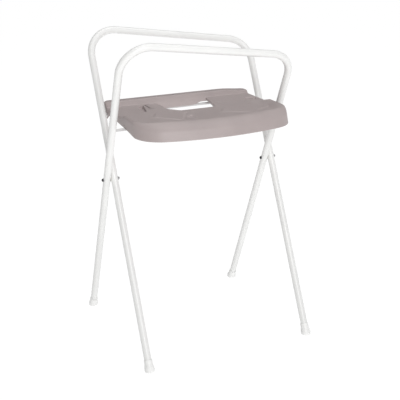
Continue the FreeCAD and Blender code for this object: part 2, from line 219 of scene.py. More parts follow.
def frame_tube(name, paint):
    """One bent tube with its real wall, open at both ends inside the foot caps."""
    stand = STANDS[name]
    low, high = box_mm(name)
    path, headings = tube_path(low[0] + TUBE_R, high[0] - TUBE_R)
    up = np.array((0, stand["lean"] * SIN_LEG, COS_LEG))
    facing = np.array((0, COS_LEG, -stand["lean"] * SIN_LEG))
    across = np.array((1.0, 0, 0))
    centres = np.array((0, 0, PIVOT_Z)) + np.outer(path[:, 0], across) + np.outer(path[:, 1], up)
    outward = np.outer(-headings[:, 1], across) + np.outer(headings[:, 0], up)
    turn = (np.arange(TUBE_AROUND) * 2 * math.pi / TUBE_AROUND)[None, :, None]
    circles = np.cos(turn) * outward[:, None, :] + np.sin(turn) * facing
    outer = centres[:, None, :] + TUBE_R * circles
    inner = centres[:, None, :] + (TUBE_R - TUBE_WALL) * circles
    rings = np.concatenate([outer, inner[::-1]])
    faces = ring_faces(len(rings), TUBE_AROUND, closed_loop=True)
    make_piece(name + "_tube", rings.reshape(-1, 3), faces, stand["body"], paint, name)


def cross_rod(name, body, paint):
    """Round rod along X with chamfered ends."""
    low, high = box_mm(name)
    centre = (low + high) / 2
    length = high[0] - low[0]
    profile = [(AXIS_R, 0), (ROD_R - ROD_CHAMFER, 0), (ROD_R, ROD_CHAMFER)]
    profile += [(ROD_R, along) for along in np.linspace(0, length, ROD_RINGS)[1:-1]]
    profile += [(ROD_R, length - ROD_CHAMFER), (ROD_R - ROD_CHAMFER, length), (AXIS_R, length)]
    points, faces = lathe(profile, (low[0], centre[1], centre[2]), (1, 0, 0), ROD_AROUND)
    make_piece(name + "_bar", points, faces, body, paint, name)


# ---- foot caps -------------------------------------------------------------------
FOOT_LENGTH = 35.0
FOOT_TOP_R = 12.6
FOOT_NECK_R = 13.0
FOOT_FLARE_R = 15.4
FOOT_EDGE_R = FOOT_FLARE_R - 0.6
FOOT_CORE_R = 10.0
FOOT_BORE_R = TUBE_R + 0.02
# The core reaches below the floor, so that the sole can be cut flat on it.
FOOT_CORE_ALONG = -8.0
FOOT_SECTION = [
    (AXIS_R, FOOT_CORE_ALONG, 0),
    (FOOT_CORE_R, FOOT_CORE_ALONG, 0),
    (FOOT_EDGE_R, 0.0, 5.0),
    (FOOT_FLARE_R, 7.0, 4.0),
    (FOOT_EDGE_R, 12.5, 9.0),
    (FOOT_NECK_R, 21.0, 10.0),
    (FOOT_TOP_R, 29.0, 8.0),
    (FOOT_TOP_R, FOOT_LENGTH, 0.7),
    (FOOT_BORE_R, FOOT_LENGTH, 0.3),
    (FOOT_BORE_R, TUBE_END_ALONG, 0),
    (AXIS_R, TUBE_END_ALONG, 0),
]
FOOT_STEPS = 7
FOOT_AROUND = 96
FOOT_SEAM = 0.16
FOOT_SHARP_DEG = 40.0
SOLE_CHAMFER = 0.7
SOLE_RIM = 1.6
SOLE_SLOPE = 0.6
SOLE_RECESS = 0.8


def cut_sole(mesh):
    """Cuts a cap flat on the floor, with a chamfered edge, a rim and a shallow recess."""
    shape = bmesh.new()
    shape.from_mesh(mesh)
    bmesh.ops.bisect_plane(
        shape, geom=shape.verts[:] + shape.edges[:] + shape.faces[:],
        plane_co=(0, 0, SOLE_CHAMFER * MM), plane_no=(0, 0, -1), clear_outer=True)
    rim = [edge for edge in shape.edges if edge.is_boundary]
    sole = bmesh.ops.edgeloop_fill(shape, edges=rim)["faces"]
    for face in sole:
        face.normal_update()
    for width, depth in ((SOLE_CHAMFER, SOLE_CHAMFER), (SOLE_RIM, 0), (SOLE_SLOPE, -SOLE_RECESS)):
        bmesh.ops.inset_region(shape, faces=sole, thickness=width * MM, depth=depth * MM)
    bmesh.ops.recalc_face_normals(shape, faces=shape.faces)
    shape.to_mesh(mesh)
    shape.free()


def foot_cap(stand, side, plastic):
    """Flared cap with a rolled top edge, a mould seam and a flat sole."""
    name = stand["feet"] + side
    low, high = box_mm(name)
    axis = (0, stand["lean"] * SIN_LEG, COS_LEG)
    origin = ((low[0] + high[0]) / 2, -stand["lean"] * FOOT_REACH, 0)
    points, faces = lathe(rounded(FOOT_SECTION, FOOT_STEPS), origin, axis, FOOT_AROUND, FOOT_SEAM)
    cap = make_piece(name + "_cap", points, faces, stand["body"], plastic, name)
    cut_sole(cap.data)
    shade(cap.data, FOOT_SHARP_DEG)


# ---- pivot hardware --------------------------------------------------------------
PIVOT_BODY = "rear_bar_stand"
HARDWARE_AROUND = 48
BOLT_R = 2.5
BOLT_CHAMFER = 0.4
HEAD_R = 4.8
HEAD_RIM = 1.0
HEAD_EDGE = 0.2
HEAD_HEIGHT = 4.6
HEAD_STEPS = 12
SOCKET_R = 1.6
SOCKET_EDGE_R = 1.35 * SOCKET_R
SOCKET_EDGE = 0.2
SOCKET_DEPTH = 2.0
SOCKET_POINT = 0.5
WASHER_R = 5.5
WASHER_BORE_R = BOLT_R + 0.15
WASHER_THICK = 1.0
WASHER_EDGES = (0.15, 0.35)
WASHER_STEPS = 4
SPACER_R = 7.0
SPACER_BORE_R = BOLT_R + 0.1
SPACER_EDGES = (0.2, 0.5)
SPACER_STEPS = 5
NUT_FLAT_R = 4.0
NUT_FACE_R = NUT_FLAT_R - 0.3
NUT_TOP_R = NUT_FLAT_R - 0.1
# The nut's face is mostly round, with a trace of the hexagon.
NUT_FACE_HEX = 0.2
NUT_EDGE = 0.35
NUT_SHOULDER = 0.5
NUT_HEX_HEIGHT = 3.4
NUT_HEIGHT = 4.9
NUT_BORE = 3.0
NUT_DOME_R = NUT_FLAT_R - 0.7
NUT_STEPS = 9


def dome(radius, start, height, steps):
    """Quarter ellipse from the rim at start up to the crown, as profile points."""
    turns = np.linspace(0, math.pi / 2, steps)
    return [(max(radius * math.cos(t), AXIS_R), start + height * math.sin(t)) for t in turns]


def pivot_ends(side):
    """Outer faces of the two washers, where the bolt head and the nut sit."""
    low, high = box_mm("pivot_washers_" + side)
    return low[0], high[0]


def pivot_bolt(side, metal):
    """Button head bolt with a hexagon socket, its shank ending inside the nut."""
    head_at, nut_at = pivot_ends(side)
    shank = nut_at + NUT_BORE - head_at
    crown = dome(HEAD_R, HEAD_RIM, HEAD_HEIGHT - HEAD_RIM, HEAD_STEPS)
    crown = [point for point in crown if point[0] > SOCKET_EDGE_R]
    socket_along = crown[-1][1]
    profile = [
        (AXIS_R, -shank),
        (BOLT_R - BOLT_CHAMFER, -shank),
        (BOLT_R, BOLT_CHAMFER - shank),
        (BOLT_R, 0),
        (HEAD_R - HEAD_EDGE, 0),
        (HEAD_R, HEAD_EDGE),
        *crown,
        (SOCKET_R, socket_along - SOCKET_EDGE, 1),
        (SOCKET_R, socket_along - SOCKET_DEPTH, 1),
        (AXIS_R, socket_along - SOCKET_DEPTH - SOCKET_POINT),
    ]
    points, faces = lathe(profile, (head_at, 0, PIVOT_Z), (-1, 0, 0), HARDWARE_AROUND)
    name = "pivot_bolt_" + side
    make_piece(name + "_screw", points, faces, PIVOT_BODY, metal, name)


def pivot_nut(side, metal):
    """Cap nut: a chamfered hexagon under a dome."""
    _, nut_at = pivot_ends(side)
    profile = [
        (BOLT_R, 0),
        (NUT_FACE_R, 0, NUT_FACE_HEX),
        (NUT_FLAT_R, NUT_EDGE, 1),
        (NUT_FLAT_R, NUT_HEX_HEIGHT - NUT_SHOULDER, 1),
        (NUT_TOP_R, NUT_HEX_HEIGHT),
        *dome(NUT_DOME_R, NUT_HEX_HEIGHT, NUT_HEIGHT - NUT_HEX_HEIGHT, NUT_STEPS),
        (AXIS_R, NUT_BORE),
        (BOLT_R, NUT_BORE),
    ]
    points, faces = lathe(profile, (nut_at, 0, PIVOT_Z), (1, 0, 0), HARDWARE_AROUND)
    name = "pivot_nut_" + side
    make_piece(name + "_cap", points, faces, PIVOT_BODY, metal, name)


def flat_ring(at, bore_r, outer_r, thick, edges, steps):
    """Flat ring about the pivot line, its bore and outer edges rounded."""
    bore_edge, outer_edge = edges
    section = [
        (bore_r, 0, bore_edge), (outer_r, 0, outer_edge),
        (outer_r, thick, outer_edge), (bore_r, thick, bore_edge)]
    return lathe(rounded(section, steps), (at, 0, PIVOT_Z), (1, 0, 0), HARDWARE_AROUND)


def pivot_washers(side, metal):
    """Washer under the bolt head and washer under the nut, as one piece."""
    head_at, nut_at = pivot_ends(side)
    shape = (WASHER_BORE_R, WASHER_R, WASHER_THICK, WASHER_EDGES, WASHER_STEPS)
    first, faces = flat_ring(head_at, *shape)
    second, more = flat_ring(nut_at - WASHER_THICK, *shape)
    faces = faces + [tuple(v + len(first) for v in face) for face in more]
    name = "pivot_washers_" + side
    make_piece(name + "_pair", np.concatenate([first, second]), faces, PIVOT_BODY, metal, name)


def pivot_spacer(side, nylon):
    """Plastic ring between the two tubes."""
    name = "pivot_spacer_" + side
    low, high = box_mm(name)
    thick = high[0] - low[0]
    points, faces = flat_ring(low[0], SPACER_BORE_R, SPACER_R, thick, SPACER_EDGES, SPACER_STEPS)
    make_piece(name + "_ring", points, faces, PIVOT_BODY, nylon, name)


# ---- snap clips ------------------------------------------------------------------
CLIP_INNER_R = 4.3
CLIP_OUTER_R = 7.5
CLIP_MOUTH_DEG = 28.0
# How far the lip reaches down the front of the rod, and how it flares at its end.
CLIP_LIP_DROPS = (3.0, 5.6)
CLIP_LIP_FLARE = 0.5
CLIP_LIP_TIP_DEG = 8.0
CLIP_STEPS = (25, 17)
CLIP_EDGE = 0.5
CLIP_SHARP_DEG = 50.0


def snap_clip(side, plastic):
    """Hook under the tray: a stem, half a ring over the rod and a lip down its front."""
    name = "snap_clip_" + side
    low, high = box_mm(name)
    tilt = math.radians(CLIP_MOUTH_DEG)

    def turned(y, z):
        return (
            FRONT_ROD[1] + y * math.cos(tilt) - z * math.sin(tilt),
            FRONT_ROD[2] + y * math.sin(tilt) + z * math.cos(tilt))

    def arc(radius, first_deg, last_deg, steps):
        angles = np.radians(np.linspace(first_deg, last_deg, steps))
        return [turned(radius * math.cos(a), radius * math.sin(a)) for a in angles]

    lip_deg = math.degrees(math.asin(CLIP_INNER_R / CLIP_OUTER_R)) + CLIP_LIP_TIP_DEG
    outline = arc(CLIP_INNER_R, 0, 180, CLIP_STEPS[0])
    outline += [turned(-CLIP_INNER_R, -CLIP_LIP_DROPS[0])]
    outline += [turned(-CLIP_INNER_R - CLIP_LIP_FLARE, -CLIP_LIP_DROPS[1])]
    outline += arc(CLIP_OUTER_R, 270 - lip_deg, 180 - CLIP_MOUTH_DEG, CLIP_STEPS[1])
    outline += [(FRONT_ROD[1] - CLIP_OUTER_R, high[2]), (FRONT_ROD[1] + CLIP_OUTER_R, high[2])]
    outline += [turned(CLIP_OUTER_R, 0)]
    points = [(x, y, z) for x in (low[0], high[0]) for y, z in outline]
    faces = ring_faces(2, len(outline), closed_ends=True)
    clip = make_piece(
        name + "_hook", points, faces, "tray_assembly", plastic, name, CLIP_SHARP_DEG)
    edge = clip.modifiers.new("edge", "BEVEL")
    edge.width = CLIP_EDGE * MM
    edge.segments = 3
    edge.limit_method = "ANGLE"
    edge.angle_limit = math.radians(CLIP_SHARP_DEG)


# ---- tray dimensions -------------------------------------------------------------
WALL = 3.0
TRAY_HALF = 245.0
TRAY_REAR_Y = 130.0
TRAY_FRONT_Y = -264.0
FRONT_DRAFT = 17.0
REAR_CORNER_R = 18.0
FRONT_BOW_R = 706.0
FRONT_CORNER_R = 90.0
SKIRT_LOW_Z = 698.0
DECK_Z = 736.0
FRONT_RIM_Z = 746.0
REAR_RIM_Z = 752.0
REAR_SKIRT_Z = 724.0
TOP_EDGE_R = 4.0
MIN_EDGE_R = 1.0

# Sloping front face of the rear rim, and the part of it that hangs in front of the rod.
RIM_CREST_Y = 100.0
RIM_FOOT = (77.0, 718.0)
RIM_SLOPE = (RIM_CREST_Y - RIM_FOOT[0]) / (REAR_RIM_Z - RIM_FOOT[1])
RIM_FILLET_R = 2.5
RIM_FALL = 6.0
RIM_FALL_X = (150.0, 240.0)
RIM_WALL_X = (-110.0, 122.0)
RIM_WALL_LOW_Z = 718.5
RIM_WALL_RISE = 7.0
RIM_WALL_RISE_X = (37.0, 75.0)
RIM_SEAM_X = 3.0
RIM_SEAM_HALF = 0.8
RIM_SEAM_DEPTH = 0.9
RIM_SEAM_TOP_Z = REAR_RIM_Z - 6.0

# Step up to the raised front part. It bows forward as a crescent between its ends.
STEP_Y = -51.0
STEP_RUN = 16.0
STEP_SLOPE = STEP_RUN / (FRONT_RIM_Z - DECK_Z)
STEP_FILLET_R = 3.0
CRESCENT_DEPTH = 46.0
CRESCENT_X = (188.0, 128.0)

# Rounding of the outer edge at the rear, and what it gains along the sides and at the front.
EDGE_R = 6.5
EDGE_R_SIDE_GAIN = 2.5
EDGE_SIDE_Y = (30.0, -110.0)
EDGE_R_FRONT_GAIN = 21.0
EDGE_FRONT_Y = (-150.0, -220.0)

# Relief of the raised front part: a low crown, two panels and a hollow.
CROWN_RISE = 2.6
CROWN_Y = (-250.0, -120.0)
CROWN_X = (205.0, 145.0)
LEFT_PANEL = [(-178.0, -140.0), (-112.0, -207.0), (-62.0, -112.0), (-148.0, -92.0)]
RIGHT_PANEL = [(24.0, -170.0), (110.0, -205.0), (196.0, -158.0), (150.0, -96.0), (72.0, -92.0)]
HOLLOW = [(-98.0, -196.0), (-60.0, -186.0), (-68.0, -158.0)]
RELIEFS = [
    {"corners": LEFT_PANEL, "corner_r": 12.0, "edge": 7.0, "rise": 1.8},
    {"corners": RIGHT_PANEL, "corner_r": 18.0, "edge": 9.0, "rise": 1.8},
    {"corners": HOLLOW, "corner_r": 6.0, "edge": 8.0, "rise": -3.0},
]
DIMPLES = [
    {"at": (102.0, -8.0), "stretch": 1.4, "spread": 130.0, "depth": 2.2},
    {"at": (-92.0, 76.0), "stretch": 1.3, "spread": 60.0, "depth": 2.6},
]

OPENING = [(-52.0, -44.0), (64.0, -44.0), (94.0, 110.0), (-84.5, 110.0), (-80.0, -8.0)]
OPENING_CORNER_R = 9.0
OPENING_EDGE_R = 2.2
COLLAR_LOW_Z = 728.0

HAND_SLOT_AT = (213.0, 13.0)
HAND_SLOT_HALF = (19.0, 11.0)
HAND_SLOT_R = 5.0
HAND_SLOT_TURN = -24.0
HAND_COLLAR_LOW_Z = 720.0
HAND_WINDOW_AT = 4.0
HAND_WINDOW_SPREAD = 0.9
HAND_WINDOW_DROP = 11.0

CATCH_X = (-157.0, -141.0)
CATCH_Y = (-12.0, 70.0)
CATCH_DEPTH = 8.0
CATCH_SLANT = 0.22
CATCH_SLANT_FROM_Y = 30.0
CATCH_R = 2.0
SLIT_X = (-127.2, -122.6)
SLIT_Y = (24.0, 80.0)
SLIT_DEPTH = 11.0
SLIT_R = 1.2

SLOT_R = 4.7
SLOT_DROP_DEG = 28.0
SLOT_REACH = 45.0
SLOT_FLARE = 1.5
HOOK_LIP = 6.0
HOOK_WALL = 8.0
ROD_GAP = 0.3
RIB_THICK = 2.4
RIB_LOW_Z = 718.0
RIB_R = 0.6
RIB_XS = (-150.0, -75.0, 90.0, 165.0)
RIB_FRONT_Y = -260.0
RIB_REAR_Y = -103.0
RIB_YS = (-118.0, 20.0)
RIB_HALF_LENGTH = 260.0
RIB_TO_OPENING = 7.0
# Ring left by a mould pin on the rear rim.
PIN_MARK_AT = (-231.0, 107.0, REAR_RIM_Z + 0.4)
PIN_MARK_R = 2.2
PIN_GROOVE_R = 1.0
PIN_EDGE_R = 0.3
# Higher than any part of the tray, and how far its side view reaches past its ends.
ABOVE_Z = 790.0
PAST_END = 9.0
SMALL_R = 0.8
INNER_R = 1.2


# ---- distance fields -------------------------------------------------------------
def ramp(value, start, end):
    """Smooth change from 0 at start to 1 at end."""
    t = np.clip((value - start) / (end - start), 0, 1)
    return t * t * (3 - 2 * t)


def round_max(a, b, radius):
    """Intersection of two distance fields, with its outer edge rounded."""
    outside = np.hypot(np.maximum(a + radius, 0), np.maximum(b + radius, 0))
    return outside + np.minimum(np.maximum(a, b), -radius)


def round_min(a, b, radius):
    """Union of two distance fields, with a fillet where they meet."""
    return -round_max(-a, -b, radius)


def polygon(u, v, corners):
    """Signed distance to a polygon, negative inside. u and v broadcast together."""
    u, v = np.broadcast_arrays(u, v)
    nearest = np.full(u.shape, np.inf)
    inside = np.zeros(u.shape, bool)
    for (u0, v0), (u1, v1) in zip(corners, corners[1:] + corners[:1]):
        du, dv = u1 - u0, v1 - v0
        t = np.clip(((u - u0) * du + (v - v0) * dv) / (du * du + dv * dv), 0, 1)
        nearest = np.minimum(nearest, (u - u0 - t * du) ** 2 + (v - v0 - t * dv) ** 2)
        if dv != 0:
            crosses = (v0 > v) != (v1 > v)
            inside ^= crosses & (u < u0 + du * (v - v0) / dv)
    distance = np.sqrt(nearest)
    return np.where(inside, -distance, distance)


def round_polygon(u, v, corners, radius):
    """Signed distance to a convex polygon with rounded corners, given counter-clockwise."""
    lines = []
    for a, b in zip(corners, corners[1:] + corners[:1]):
        a, b = np.array(a), np.array(b)
        inward = np.array((a[1] - b[1], b[0] - a[0])) / np.linalg.norm(b - a)
        lines.append((inward, inward @ a + radius))
    shrunk = []
    for (n0, c0), (n1, c1) in zip(lines[-1:] + lines[:-1], lines):
        shrunk.append(tuple(np.linalg.solve(np.array((n0, n1)), np.array((c0, c1)))))
    return polygon(u, v, shrunk) - radius


def block(x, y, z, low, high, radius):
    """Signed distance to a box with rounded edges."""
    centre, half = (np.array(low) + high) / 2, (np.array(high) - low) / 2 - radius
    q = [np.abs(c - m) - h for c, m, h in zip((x, y, z), centre, half)]
    outside = np.sqrt(sum(np.maximum(a, 0) ** 2 for a in q))
    return outside + np.minimum(np.maximum(np.maximum(q[0], q[1]), q[2]), 0) - radius


def plan(x, y, z):
    """D-shaped outline at each height: its front leans back towards the top."""
    lean = FRONT_DRAFT / (FRONT_RIM_Z - SKIRT_LOW_Z)
    front_y = y - lean * (z - SKIRT_LOW_Z)
    side = np.abs(x) - TRAY_HALF
    bow_y = TRAY_FRONT_Y + FRONT_BOW_R
    bow = np.hypot(x, front_y - bow_y) - FRONT_BOW_R
    corner_x = TRAY_HALF - FRONT_CORNER_R
    corner_drop = math.sqrt((FRONT_BOW_R - FRONT_CORNER_R) ** 2 - corner_x ** 2)
    dx, dy = np.abs(x) - corner_x, front_y - bow_y + corner_drop
    at_corner = (dy < 0) & (dx * corner_drop + dy * corner_x > 0)
    front = np.where(at_corner, np.hypot(dx, dy) - FRONT_CORNER_R, np.maximum(side, bow))
    rear_x, rear_y = side + REAR_CORNER_R, y - TRAY_REAR_Y + REAR_CORNER_R
    at_rear_corner = (rear_x > 0) & (rear_y > 0)
    rear_corner = np.hypot(rear_x, rear_y) - REAR_CORNER_R
    return np.where(at_rear_corner, rear_corner, np.maximum(front, y - TRAY_REAR_Y))


def behind_rim(y, z):
    """Distance behind the sloping face that runs from the rear rim down to the rear rod."""
    return (y - RIM_FOOT[0] - RIM_SLOPE * (z - RIM_FOOT[1])) / math.hypot(1, RIM_SLOPE)


def relief(x, y):
    """Height of the crown, panels and hollow over the raised front part."""
    height = 0
    for part in RELIEFS:
        distance = round_polygon(x, y, part["corners"], part["corner_r"])
        height = height + part["rise"] * ramp(distance, part["edge"] / 2, -part["edge"] / 2)
    return height + CROWN_RISE * ramp(y, *CROWN_Y) * ramp(np.abs(x), *CROWN_X)


def dimples(x, y):
    """Depth of the small round dimples in the deck."""
    depth = 0
    for dimple in DIMPLES:
        dx, dy = x - dimple["at"][0], (y - dimple["at"][1]) / dimple["stretch"]
        depth = depth + dimple["depth"] * np.exp(-(dx ** 2 + dy ** 2) / dimple["spread"])
    return depth


def top(x, y, z, inset):
    """Deck, raised front part and raised rear rim, as one smooth upper surface."""
    deck_z = DECK_Z - inset
    edge_r = max(TOP_EDGE_R - inset, MIN_EDGE_R)
    step_y = STEP_Y - CRESCENT_DEPTH * ramp(np.abs(x), *CRESCENT_X) - STEP_SLOPE * (z - deck_z)
    before_step = (y - step_y + inset) / math.hypot(1, STEP_SLOPE)
    front = round_max(z - FRONT_RIM_Z + inset - relief(x, y), before_step, edge_r)
    rim_z = REAR_RIM_Z - RIM_FALL * ramp(x, *RIM_FALL_X) - inset
    rear = round_max(z - rim_z, inset - behind_rim(y, z), edge_r)
    deck = z - deck_z + dimples(x, y)
    return round_min(round_min(deck, front, STEP_FILLET_R), rear, RIM_FILLET_R)


def slot_line(along, offset):
    """Point at a distance along the rear hook's slot and to one side of its centre line."""
    fall = math.radians(SLOT_DROP_DEG)
    y = REAR_ROD[1] + along * math.cos(fall) - offset * math.sin(fall)
    z = REAR_ROD[2] - along * math.sin(fall) - offset * math.cos(fall)
    return y, z


def side_view():
    """Closed outline of the tray seen from its side, hooks included, counter-clockwise."""
    outer = SLOT_R + HOOK_LIP
    rest_z = FRONT_ROD[2] + 1.5
    past_front_y, past_rear_y = TRAY_FRONT_Y - PAST_END, TRAY_REAR_Y + PAST_END
    return [
        (past_front_y, SKIRT_LOW_Z),
        (-205.0, SKIRT_LOW_Z),
        (-165.0, SKIRT_LOW_Z + 1.0),
        (-122.0, 705.0),
        (FRONT_ROD[1] - 8, rest_z),
        (FRONT_ROD[1] + 12, rest_z + 1.0),
        (-14.0, 714.0),
        (45.0, 713.0),
        slot_line(-14.0, outer - 3.0),
        slot_line(-2.0, outer),
        slot_line(21.0, outer),
        slot_line(24.0, outer - 1.5),
        (110.0, REAR_SKIRT_Z),
        (past_rear_y, REAR_SKIRT_Z),
        (past_rear_y, ABOVE_Z),
        (past_front_y, ABOVE_Z),
    ]


def hook_slot(y, z):
    """Slot round the rear rod, open at the rear edge of the side walls."""
    mouth = SLOT_R + SLOT_FLARE
    flare = [
        slot_line(0, SLOT_R), slot_line(SLOT_REACH, mouth),
        slot_line(SLOT_REACH, -mouth), slot_line(0, -SLOT_R)]
    seat = np.hypot(y - REAR_ROD[1], z - REAR_ROD[2]) - SLOT_R
    return np.minimum(seat, polygon(y, z, flare))


def ribs(x, y, z):
    """Stiffening ribs under the deck."""
    made = np.inf
    for at in RIB_XS:
        low, high = (at, RIB_FRONT_Y, RIB_LOW_Z), (at + RIB_THICK, RIB_REAR_Y, ABOVE_Z)
        made = np.minimum(made, block(x, y, z, low, high, RIB_R))
    for at in RIB_YS:
        low, high = (-RIB_HALF_LENGTH, at, RIB_LOW_Z), (RIB_HALF_LENGTH, at + RIB_THICK, ABOVE_Z)
        made = np.minimum(made, block(x, y, z, low, high, RIB_R))
    return made


def rim_wall(x, y, z):
    """Lower part of the rim's sloping face, which hangs in front of the rear rod."""
    low_z = RIM_WALL_LOW_Z + RIM_WALL_RISE * ramp(x, *RIM_WALL_RISE_X)
    behind = behind_rim(y, z)
    slab = round_max(np.abs(behind - WALL / 2) - WALL / 2, low_z - z, INNER_R)
    ends = np.maximum(RIM_WALL_X[0] - x, x - RIM_WALL_X[1])
    return np.maximum(np.maximum(slab, z - REAR_RIM_Z + WALL), ends)


def hand_slot(x, y, z):
    """Slanting hand slot in the right of the deck, and the window in its collar."""
    turn = math.radians(HAND_SLOT_TURN)
    dx, dy = x - HAND_SLOT_AT[0], y - HAND_SLOT_AT[1]
    along = dx * math.cos(turn) + dy * math.sin(turn)
    across = dy * math.cos(turn) - dx * math.sin(turn)
    low, high = (-HAND_SLOT_HALF[0], -HAND_SLOT_HALF[1], SKIRT_LOW_Z), (*HAND_SLOT_HALF, ABOVE_Z)
    slot = block(along, across, z, low, high, HAND_SLOT_R)
    window = np.abs(along - HAND_WINDOW_AT) - (DECK_Z - z) * HAND_WINDOW_SPREAD
    window = np.maximum(window, np.maximum(-across, DECK_Z - HAND_WINDOW_DROP - z))
    return slot, window


def catch_cuts(x, y, z):
    """Recess and slit of the catch on the left of the deck."""
    slant = (y - CATCH_SLANT_FROM_Y) * CATCH_SLANT
    low, high = (CATCH_X[0], CATCH_Y[0], DECK_Z - CATCH_DEPTH), (CATCH_X[1], CATCH_Y[1], ABOVE_Z)
    recess = block(x - slant, y, z, low, high, CATCH_R)
    low, high = (SLIT_X[0], SLIT_Y[0], DECK_Z - SLIT_DEPTH), (SLIT_X[1], SLIT_Y[1], ABOVE_Z)
    return recess, block(x, y, z, low, high, SLIT_R)


def rim_seam(x, y, z):
    """Fine groove down the rim's sloping face."""
    across = np.abs(x - RIM_SEAM_X) - RIM_SEAM_HALF
    deep = np.maximum(np.abs(behind_rim(y, z)) - RIM_SEAM_DEPTH, z - RIM_SEAM_TOP_Z)
    return np.maximum(across, deep)


def pin_mark(x, y, z):
    """Ring-shaped groove of a mould pin."""
    from_ring = np.hypot(x - PIN_MARK_AT[0], y - PIN_MARK_AT[1]) - PIN_MARK_R
    return np.hypot(from_ring, z - PIN_MARK_AT[2]) - PIN_GROOVE_R


def tray_field(x, y, z):
    """Signed distance to the whole moulding, negative in the plastic."""
    edge_r = EDGE_R + EDGE_R_SIDE_GAIN * ramp(y, *EDGE_SIDE_Y) + EDGE_R_FRONT_GAIN * ramp(y, *EDGE_FRONT_Y)
    opening = np.maximum(round_polygon(x, y, OPENING, OPENING_CORNER_R), behind_rim(y, z))
    recess, slit = catch_cuts(x, y, z)
    slot, window = hand_slot(x, y, z)
    outer_plan = plan(x, y, z)
    solid = round_max(outer_plan, top(x, y, z, 0.0), edge_r)
    solid = round_max(solid, -opening, OPENING_EDGE_R)
    solid = round_max(solid, -recess, INNER_R)
    solid = round_max(solid, -slot, INNER_R)
    solid = round_max(solid, -rim_seam(x, y, z), RIM_SEAM_HALF / 2)

    cavity = round_max(outer_plan + WALL, top(x, y, z, WALL), edge_r - WALL)
    collar = np.maximum(opening - WALL, COLLAR_LOW_Z - z)
    hand_collar = np.maximum(np.maximum(slot - WALL, HAND_COLLAR_LOW_Z - z), -window)
    short_ribs = np.maximum(ribs(x, y, z), RIB_TO_OPENING - opening)
    kept = np.minimum(np.minimum(collar, short_ribs), np.minimum(rim_wall(x, y, z), hand_collar))
    kept = np.minimum(kept, np.minimum(recess, slit) - WALL)
    cavity = round_max(cavity, -kept, INNER_R)

    shell = round_max(solid, -cavity, SMALL_R)
    shell = np.maximum(shell, -slit)
    shell = round_max(shell, polygon(y, z, side_view()), INNER_R)
    hooks = np.maximum(hook_slot(y, z), TRAY_HALF - HOOK_WALL - np.abs(x))
    shell = round_max(shell, -hooks, SMALL_R)
    rest = np.hypot(y - FRONT_ROD[1], z - FRONT_ROD[2]) - ROD_R - ROD_GAP
    shell = np.maximum(shell, -rest)
    return round_max(shell, -pin_mark(x, y, z), PIN_EDGE_R)


# ---- tray mesh -------------------------------------------------------------------
TRAY_FACES = 180_000
TRAY_PITCH = (1.6, 1.6, 1.25)
TRAY_SHARP_DEG = 80.0
SLOPE_STEP = 0.04
MIN_SLOPE = 0.3
SETTLE_ROUNDS = 3
# Farthest that a point settles, as a share of the finest pitch.
SETTLE_REACH = 0.6
# Empty space left round the tray on its grid.
GRID_BELOW, GRID_ABOVE = 4.3, 4.1
CELL_CORNERS = [(c & 1, c >> 1 & 1, c >> 2 & 1) for c in range(8)]
CELL_EDGES = [(a, a | bit) for bit in (1, 2, 4) for a in range(8) if not a & bit]


def net_points(field, inside, axes):
    """Cells that the surface passes through, and a point of the surface in each."""
    sizes = np.array(field.shape)
    total = np.zeros(sizes - 1, np.uint8)
    for i, j, k in CELL_CORNERS:
        total += inside[i:sizes[0] - 1 + i, j:sizes[1] - 1 + j, k:sizes[2] - 1 + k]
    cells = np.argwhere((total > 0) & (total < len(CELL_CORNERS)))
    values = np.stack([field[tuple((cells + corner).T)] for corner in CELL_CORNERS], 1)
    places = np.zeros((len(cells), 3))
    crossings = np.zeros(len(cells))
    for a, b in CELL_EDGES:
        at_a, at_b = values[:, a], values[:, b]
        cut = (at_a < 0) != (at_b < 0)
        share = np.where(cut, at_a / np.where(cut, at_a - at_b, 1), 0)
        for axis in range(3):
            start, end = CELL_CORNERS[a][axis], CELL_CORNERS[b][axis]
            places[:, axis] += np.where(cut, start + (end - start) * share, 0)
        crossings += cut
    places = cells + places / crossings[:, None]
    return cells, np.stack([np.interp(places[:, n], np.arange(sizes[n]), axes[n]) for n in range(3)], 1)


def surface_net(field, axes):
    """Closed quad mesh of the zero level of a field given on a grid."""
    inside = field < 0
    cells, points = net_points(field, inside, axes)
    index = np.full(np.array(field.shape) - 1, -1, np.int64)
    index[tuple(cells.T)] = np.arange(len(cells))
    quads = []
    for axis in range(3):
        u, v = (axis + 1) % 3, (axis + 2) % 3
        near, far = [slice(1, -1)] * 3, [slice(1, -1)] * 3
        near[axis], far[axis] = slice(0, -1), slice(1, None)
        starts_in, ends_in = inside[tuple(near)], inside[tuple(far)]
        at = np.argwhere(starts_in != ends_in)
        outward = starts_in[tuple(at.T)]
        ring = []
        for du, dv in ((0, 0), (1, 0), (1, 1), (0, 1)):
            cell = at.copy()
            cell[:, u] += du
            cell[:, v] += dv
            ring.append(index[tuple(cell.T)])
        quad = np.stack(ring, 1)
        quad[~outward] = quad[~outward][:, ::-1]
        quads.append(quad)
    return points, np.concatenate(quads)


def onto_surface(points, reach):
    """Moves points along the field's slope until they lie on its zero level."""
    start = points.copy()
    for _ in range(SETTLE_ROUNDS):
        x, y, z = points.T
        value = tray_field(x, y, z)
        slope = np.stack([
            tray_field(x + SLOPE_STEP, y, z) - tray_field(x - SLOPE_STEP, y, z),
            tray_field(x, y + SLOPE_STEP, z) - tray_field(x, y - SLOPE_STEP, z),
            tray_field(x, y, z + SLOPE_STEP) - tray_field(x, y, z - SLOPE_STEP),
        ], 1) / (2 * SLOPE_STEP)
        size = np.maximum((slope ** 2).sum(1), MIN_SLOPE)
        points = points - slope * (value / size)[:, None]
        points = start + np.clip(points - start, -reach, reach)
    return points


